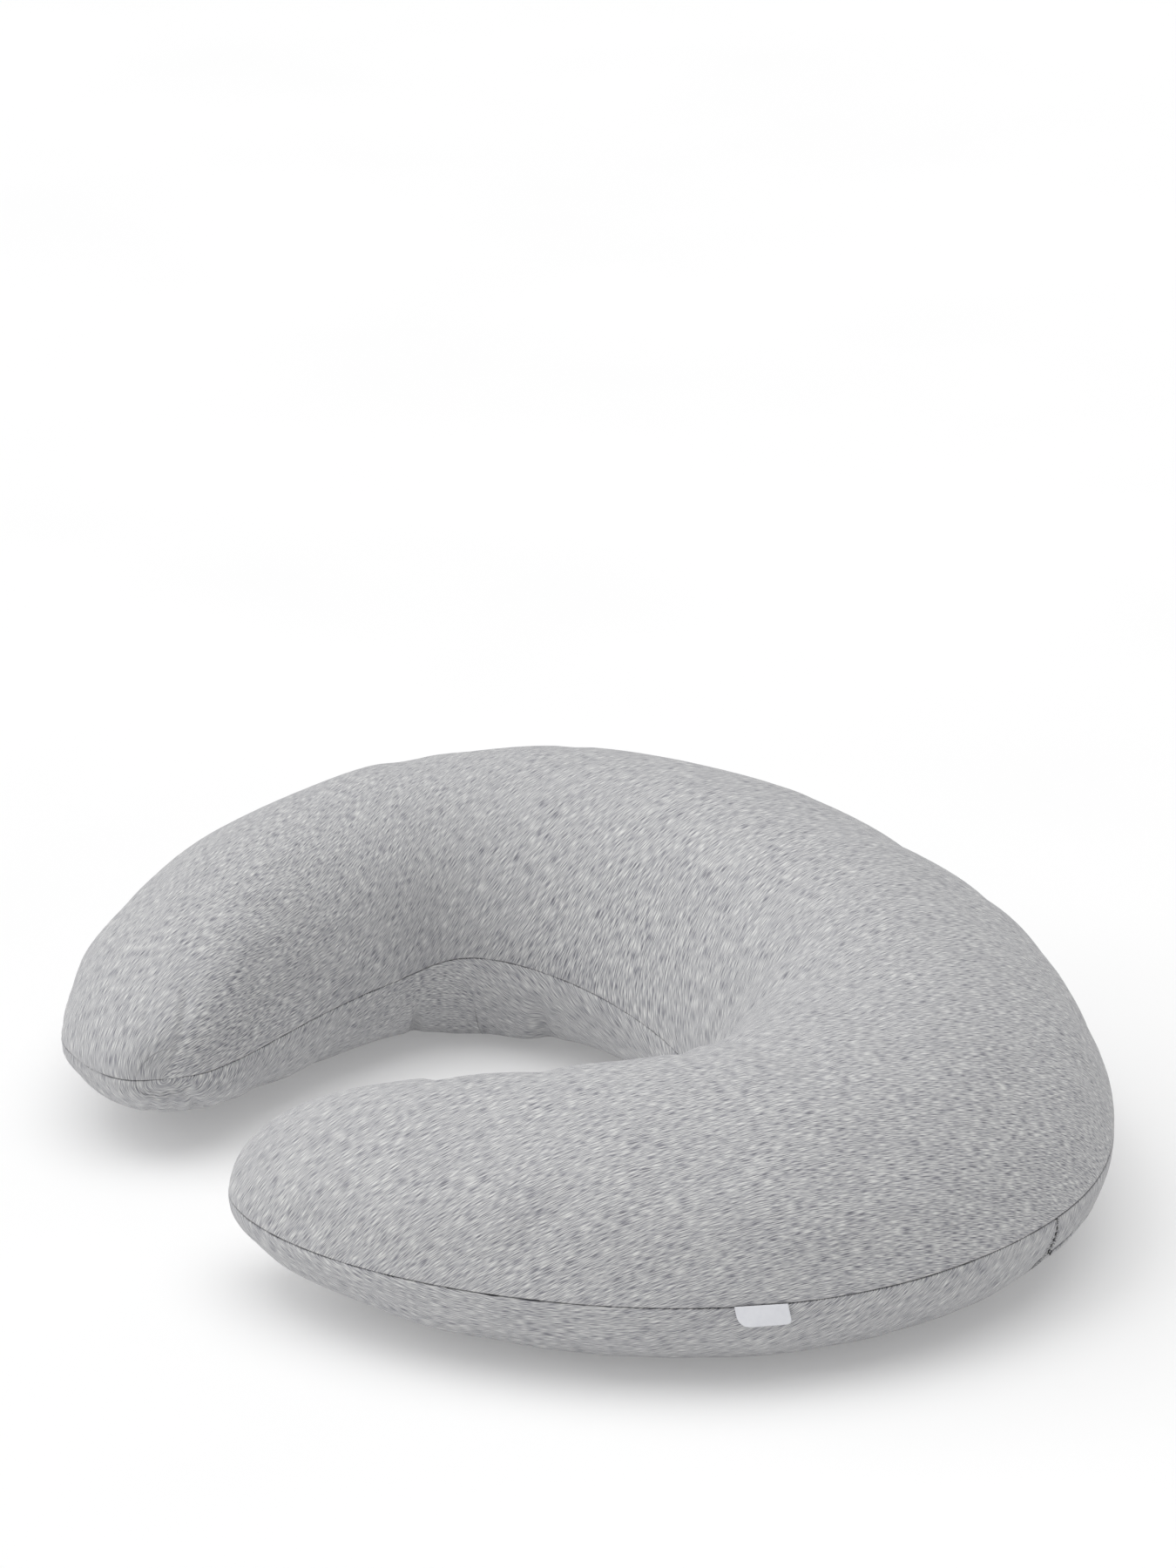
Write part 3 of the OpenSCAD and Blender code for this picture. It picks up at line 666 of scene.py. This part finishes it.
def marl_jersey(name, grain):
    """Grey marl: pale and dark fibres drawn out along the yarn, on a fine plain knit."""
    n = Nodes(name)
    cloth = n.place("cloth")
    fibres = n.streaks(cloth, grain, 0.0062, 0.00041, 1)
    yarns = n.streaks(cloth, grain, 0.011, 0.00068, 1)
    clouds = n.streaks(cloth, grain, 0.035, 0.007, 1)
    blend = 0.5
    for part, strength in ((fibres, 1.75), (yarns, 0.22), (clouds, 0.18)):
        blend = n.math("ADD", n.math("MULTIPLY", n.math("SUBTRACT", part, 0.5), strength), blend)
    tone = n.ramp(blend, [(0.12, GREY[0]), (0.38, GREY[1]), (0.60, GREY[2]), (0.86, GREY[3])])
    n.link(tone, n.shader.inputs["Base Color"])
    rough = n.math("ADD", n.math("MULTIPLY", fibres, 0.12), 0.80)
    n.link(rough, n.shader.inputs["Roughness"])
    n.set(Specular_IOR_Level=0.25, Sheen_Weight=0.12, Sheen_Roughness=0.45)
    knit = n.add("TexWave", wave_type="BANDS", bands_direction="Y", wave_profile="SIN")
    knit.inputs["Scale"].default_value = 1.0
    knit.inputs["Distortion"].default_value = 1.2
    knit.inputs["Detail"].default_value = 1.0
    n.link(n.mapped(cloth, grain, (60, 0.5 / KNIT_PITCH, 60)), knit.inputs["Vector"])
    height = n.math("ADD", n.math("MULTIPLY", knit.outputs["Fac"], 0.35), n.math("MULTIPLY", fibres, 0.9))
    n.bump(height, 0.0002, 0.3)
    return n.material


def plain_weave(name, dark, light, pitch, place="object", rough=0.85, bump=0.0003, sheen=0.1):
    """Woven cloth: two sets of threads that cross, with a little slub."""
    n = Nodes(name)
    where = n.place(None if place == "object" else place)
    threads = []
    for direction in ("X", "Y"):
        wave = n.add("TexWave", wave_type="BANDS", bands_direction=direction, wave_profile="SIN")
        wave.inputs["Scale"].default_value = 1.0
        wave.inputs["Distortion"].default_value = 0.6
        wave.inputs["Detail"].default_value = 1.0
        n.link(n.mapped(where, 0, (0.314 / pitch,) * 3), wave.inputs["Vector"])
        threads.append(wave.outputs["Fac"])
    woven = n.math("MULTIPLY", threads[0], threads[1])
    slub = n.noise(n.mapped(where, 0, (40, 400, 400)), 1.0, 3)
    mixed = n.math("ADD", n.math("MULTIPLY", woven, 0.5), n.math("MULTIPLY", slub, 0.5))
    n.link(n.ramp(mixed, [(0.15, dark), (0.6, light)]), n.shader.inputs["Base Color"])
    n.set(Roughness=rough, Specular_IOR_Level=0.25, Sheen_Weight=sheen, Sheen_Roughness=0.4)
    n.bump(mixed, bump, 0.5)
    return n.material


def hollow_fibre():
    """Fluffy filling: tangled curls of pale fibre."""
    n = Nodes("hollow_fibre")
    where = n.place()
    curls = n.noise(n.mapped(where, 20, (160, 420, 260)), 1.0, 5, 0.65)
    clumps = n.noise(where, 28.0, 3)
    mixed = n.math("ADD", n.math("MULTIPLY", curls, 0.6), n.math("MULTIPLY", clumps, 0.4))
    tone = n.ramp(mixed, [(0.35, srgb(214, 214, 212)), (0.6, srgb(244, 244, 243))])
    n.link(tone, n.shader.inputs["Base Color"])
    n.set(Roughness=0.95, Specular_IOR_Level=0.15, Sheen_Weight=0.3, Sheen_Roughness=0.6)
    n.bump(mixed, 0.004, 0.8)
    return n.material


def twisted_thread(name, dark, light):
    """Sewing thread: fine plies that run at a slant."""
    n = Nodes(name)
    where = n.place()
    ply = n.add("TexWave", wave_type="BANDS", bands_direction="DIAGONAL", wave_profile="SIN")
    ply.inputs["Scale"].default_value = 1.0
    ply.inputs["Distortion"].default_value = 0.4
    n.link(n.mapped(where, 0, (700, 700, 900)), ply.inputs["Vector"])
    fuzz = n.noise(where, 900.0, 2)
    mixed = n.math("ADD", n.math("MULTIPLY", ply.outputs["Fac"], 0.7), n.math("MULTIPLY", fuzz, 0.3))
    n.link(n.ramp(mixed, [(0.1, dark), (0.8, light)]), n.shader.inputs["Base Color"])
    n.set(Roughness=0.7, Specular_IOR_Level=0.3, Sheen_Weight=0.15)
    n.bump(mixed, 0.0001, 0.6)
    return n.material


def satin_label(name):
    """Woven damask label: close satin floats, a little gloss, softly shaded."""
    n = Nodes(name)
    where = n.place()
    floats = n.add("TexWave", wave_type="BANDS", bands_direction="Z", wave_profile="SIN")
    floats.inputs["Scale"].default_value = 1.0
    floats.inputs["Distortion"].default_value = 0.5
    n.link(n.mapped(where, 0, (300, 300, 1250)), floats.inputs["Vector"])
    cloud = n.noise(where, 350.0, 2)
    mixed = n.math("ADD", n.math("MULTIPLY", floats.outputs["Fac"], 0.5), n.math("MULTIPLY", cloud, 0.5))
    tone = n.ramp(mixed, [(0.2, srgb(222, 223, 229)), (0.7, srgb(238, 239, 243))])
    n.link(tone, n.shader.inputs["Base Color"])
    n.link(n.math("ADD", n.math("MULTIPLY", cloud, 0.2), 0.38), n.shader.inputs["Roughness"])
    n.set(Specular_IOR_Level=0.4, Sheen_Weight=0.1)
    n.bump(mixed, 0.0001, 0.4)
    return n.material


def moulded_plastic(name, dark, light):
    n = Nodes(name)
    mottle = n.noise(n.place(), 600.0, 2)
    n.link(n.ramp(mottle, [(0.3, dark), (0.7, light)]), n.shader.inputs["Base Color"])
    n.link(n.math("ADD", n.math("MULTIPLY", mottle, 0.2), 0.32), n.shader.inputs["Roughness"])
    n.bump(mottle, 0.00005, 0.4)
    return n.material


def painted_metal(name):
    """Die-cast zinc with a soft nickel finish, rubbed at places."""
    n = Nodes(name)
    where = n.place()
    rubbed = n.noise(where, 260.0, 4)
    brush = n.noise(n.mapped(where, 0, (250, 2500, 2500)), 1.0, 2)
    mixed = n.math("ADD", n.math("MULTIPLY", rubbed, 0.6), n.math("MULTIPLY", brush, 0.4))
    tone = n.ramp(mixed, [(0.3, srgb(150, 151, 154)), (0.65, srgb(196, 197, 199))])
    n.link(tone, n.shader.inputs["Base Color"])
    n.link(n.math("ADD", n.math("MULTIPLY", mixed, 0.25), 0.2), n.shader.inputs["Roughness"])
    n.set(Metallic=1.0)
    n.bump(brush, 0.00004, 0.3)
    return n.material


def paint(obj, material):
    obj.data.materials.clear()
    obj.data.materials.append(material)


# ---------------------------------------------------------------- the inner cushion
INNER_STATIONS, CASING_ROWS, FILLING_ROWS = 300, 34, 44
CASING_SKIN = (ROOM_SIDE, ROOM_FLAT)
CASING_LIP = 0.0006
FILLING_SKIN = (ROOM_SIDE + CASING + FILLING_GAP, ROOM_FLAT + CASING + FILLING_GAP)


def make_casing(up):
    q = even_stations(INNER_STATIONS)
    name = "casing_top" if up else "casing_bottom"
    lips = (CASING_LIP, CASING_LIP)
    return shell(name, q, up, None, CASING_ROWS, CASING, lips, np.full(len(q), SLIT), CASING_SKIN)


def make_filling():
    """The fibre filling: one closed form that fills the casing."""
    q = even_stations(INNER_STATIONS)
    rows = np.linspace(0, 1, FILLING_ROWS)
    halves = []
    for up in (True, False):
        side = Side(q, up, FILLING_SKIN)
        length = side.length[:, None]
        base = side.cut(length * rows)
        points = base + normals(base, up) * relief(q, length * rows, length, up, base)[..., None]
        halves.append(points)
    ring = np.concatenate([halves[0], halves[1][:, -2:0:-1]], 1)
    m, w = ring.shape[:2]
    faces = [(i * w + j, i * w + (j + 1) % w, (i + 1) * w + (j + 1) % w, (i + 1) * w + j)
             for i in range(m - 1) for j in range(w)]
    return make_object("filling", ring.reshape(-1, 3), faces)


# ---------------------------------------------------------------- the side label
LABEL_WIDE, LABEL_TALL, LABEL_THICK = 0.0255, 0.0100, 0.0006
# Radii of the lower corners
LABEL_ROUND = (0.0052, 0.0026)
LABEL_BULGE, LABEL_LIFT = 0.0006, 0.0014
# How far the label hangs aslant, as a share of its drop
LABEL_SLANT = 0.20


def make_side_label():
    """A satin label sewn into the seam: it hangs flat, bellies a little and lifts at its lower edge."""
    label_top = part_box("side_label")[1][2]
    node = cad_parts["side_label"]
    co = np.array([v.co for v in node.data.vertices])
    middle = (co.max(0) + co.min(0)) / 2
    flat = co[:, :2] - middle[:2]
    along_way = np.linalg.svd(flat, full_matrices=False)[2][0]
    outward = np.array([along_way[1], -along_way[0]])
    if outward[0] < 0:
        outward = -outward
    if along_way[1] < 0:
        along_way = -along_way
    cols, rows = 40, 24
    u = np.linspace(-0.5, 0.5, cols)
    v = np.linspace(0, 1, rows)
    grid = []
    for y in v:
        drop = y * LABEL_TALL
        ends = []
        for corner, way in ((LABEL_ROUND[0], -1), (LABEL_ROUND[1], 1)):
            over = max(0.0, drop - (LABEL_TALL - corner))
            ends.append(way * (LABEL_WIDE / 2 - corner + math.sqrt(max(corner ** 2 - over ** 2, 0))))
        x = ends[0] + (ends[1] - ends[0]) * (u + 0.5) + LABEL_SLANT * drop
        out = LABEL_BULGE * np.sin(math.pi * y) * np.cos(math.pi * u) + LABEL_LIFT * y ** 2 * (1 - 0.5 * u)
        z = label_top - drop + 0 * x
        plan = middle[:2] + np.outer(x, along_way) + np.outer(out, outward)
        grid.append(np.concatenate([plan, z[:, None]], 1))
    front = np.array(grid)
    back = front.copy()
    back[..., :2] -= outward * LABEL_THICK
    count = cols * rows
    faces = []
    for i in range(rows - 1):
        for j in range(cols - 1):
            a = i * cols + j
            faces.append((a, a + 1, a + 1 + cols, a + cols))
            faces.append((count + a, count + a + cols, count + a + 1 + cols, count + a + 1))
    rim_path = [j for j in range(cols)] + [i * cols + cols - 1 for i in range(1, rows)]
    rim_path += [(rows - 1) * cols + j for j in range(cols - 2, -1, -1)]
    rim_path += [i * cols for i in range(rows - 2, 0, -1)]
    for a, b in zip(rim_path, rim_path[1:] + rim_path[:1]):
        faces.append((a, count + a, count + b, b))
    return make_object("side_tag", np.concatenate([front.reshape(-1, 3), back.reshape(-1, 3)]), faces)


# ---------------------------------------------------------------- build
cover_top, cover_bottom, cover_facing = make_cover()
for piece, grain, nodes in (
        (cover_top, TOP_GRAIN, "cover_top_panel"),
        (cover_bottom, BOTTOM_GRAIN, "cover_bottom_panel"),
        (cover_facing, FACING_GRAIN, "zip_facing")):
    paint(piece, marl_jersey("marl_" + piece.name, grain))
    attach(piece, "pillow")
    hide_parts(nodes)

WHITE = (srgb(205, 205, 207), srgb(238, 238, 238))
casing_weave = plain_weave("casing_weave", *WHITE, 0.0007, "cloth")
for up, node in ((True, "inner_casing_top"), (False, "inner_casing_bottom")):
    casing = make_casing(up)
    paint(casing, casing_weave)
    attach(casing, "pillow")
    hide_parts(node)
filling = make_filling()
paint(filling, hollow_fibre())
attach(filling, "pillow")
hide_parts("fibre_filling")

side_tag = make_side_label()
label_satin = satin_label("label_satin")
paint(side_tag, label_satin)
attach(side_tag, "label")
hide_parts("side_label")

grey_thread = twisted_thread("grey_thread", srgb(120, 120, 124), srgb(190, 190, 192))
white_thread = twisted_thread("white_thread", srgb(196, 196, 198), srgb(240, 240, 240))
tape_cloth = plain_weave("tape_cloth", srgb(132, 133, 137), srgb(176, 177, 180), 0.0006, rough=0.7)
teeth_plastic = moulded_plastic("teeth_plastic", srgb(138, 139, 143), srgb(160, 161, 165))
zip_metal = painted_metal("zip_metal")
FINISHES = {
    "cover_seam_thread": grey_thread, "facing_seam_thread": grey_thread, "zip_tape_stitching": grey_thread,
    "inner_seam_thread": white_thread, "inner_closing_stitch": white_thread,
    "cover_care_label": label_satin, "inner_care_label": label_satin,
    "zip_tape_upper": tape_cloth, "zip_tape_lower": tape_cloth,
    "zip_teeth_upper": teeth_plastic, "zip_teeth_lower": teeth_plastic,
    "zip_top_stops": zip_metal, "zip_bottom_stop": zip_metal,
    "zip_slider": zip_metal, "zip_pull_tab": zip_metal,
}
for node, finish in FINISHES.items():
    paint(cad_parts[node], finish)


# ---------------------------------------------------------------- floor, light, camera
FLOOR_GLOW = 0.2
# Half of the floor's width, and how far it lies below the pillow
FLOOR_HALF, FLOOR_DROP = 40.0, 0.0003
FLOOR_TONES = (0.735, 0.755)
WORLD_LIGHT = 0.45
SUN_SPREAD, OVERHEAD_SUN, KEY_SUN = 70, 1.35, 1.0
# The camera's direction and distance from the point that it looks at, its lens, and its last small turns
CAMERA_AZIMUTH, CAMERA_ELEVATION, CAMERA_DISTANCE = 64.658, 21.965, 3.3624
CAMERA_LENS, CAMERA_TILT, CAMERA_PAN = 151.14, 2.110, 0.046


def make_floor():
    quarters = ((-1, -1), (1, -1), (1, 1), (-1, 1))
    corners = np.array([[x * FLOOR_HALF, y * FLOOR_HALF, -FLOOR_DROP] for x, y in quarters])
    obj = make_object("floor", corners, [(0, 1, 2, 3)])
    n = Nodes("pale_floor")
    mottle = n.noise(n.place(), 3.0, 2)
    dark, light = [(tone, tone, tone, 1) for tone in FLOOR_TONES]
    n.link(n.ramp(mottle, [(0.3, dark), (0.7, light)]), n.shader.inputs["Base Color"])
    n.set(Roughness=0.9, Specular_IOR_Level=0.1, Emission_Color=(1, 1, 1, 1), Emission_Strength=FLOOR_GLOW)
    paint(obj, n.material)


def soft_sun(name, toward, spread, strength):
    """A light as wide as a studio's softbox, in the direction toward."""
    data = bpy.data.lights.new(name, "SUN")
    data.angle = math.radians(spread)
    data.energy = strength
    obj = bpy.data.objects.new(name, data)
    obj.rotation_euler = Vector(toward).to_track_quat("Z", "Y").to_euler()
    bpy.context.scene.collection.objects.link(obj)


def make_world(strength):
    world = bpy.data.worlds.new("studio")
    world.use_nodes = True
    back = world.node_tree.nodes["Background"]
    back.inputs["Color"].default_value = (1, 1, 1, 1)
    back.inputs["Strength"].default_value = strength
    bpy.context.scene.world = world


def make_camera():
    """Looks at the pillow from its right front, with the pillow in the lower half of the picture."""
    azimuth, elevation = math.radians(CAMERA_AZIMUTH), math.radians(CAMERA_ELEVATION)
    look_at = Vector((0, -0.00268, 0.06445))
    level = math.cos(elevation)
    back = Vector((math.sin(azimuth) * level, -math.cos(azimuth) * level, math.sin(elevation)))
    data = bpy.data.cameras.new("camera")
    data.lens = CAMERA_LENS
    data.sensor_fit = "VERTICAL"
    data.sensor_height = 36
    data.clip_start, data.clip_end = 0.1, 200
    obj = bpy.data.objects.new("camera", data)
    turn = back.to_track_quat("Z", "Y").to_matrix().to_4x4()
    tilt = Matrix.Rotation(math.radians(CAMERA_TILT), 4, "X")
    pan = Matrix.Rotation(math.radians(CAMERA_PAN), 4, "Y")
    obj.matrix_world = Matrix.Translation(look_at + back * CAMERA_DISTANCE) @ turn @ tilt @ pan
    bpy.context.scene.collection.objects.link(obj)
    bpy.context.scene.camera = obj


make_floor()
make_world(WORLD_LIGHT)
soft_sun("overhead", (0, 0, 1), SUN_SPREAD, OVERHEAD_SUN)
soft_sun("key", (-0.428, -0.904, 0.8), SUN_SPREAD, KEY_SUN)
make_camera()
bpy.context.scene.view_settings.view_transform = "Standard"
bpy.context.scene.view_settings.look = "None"
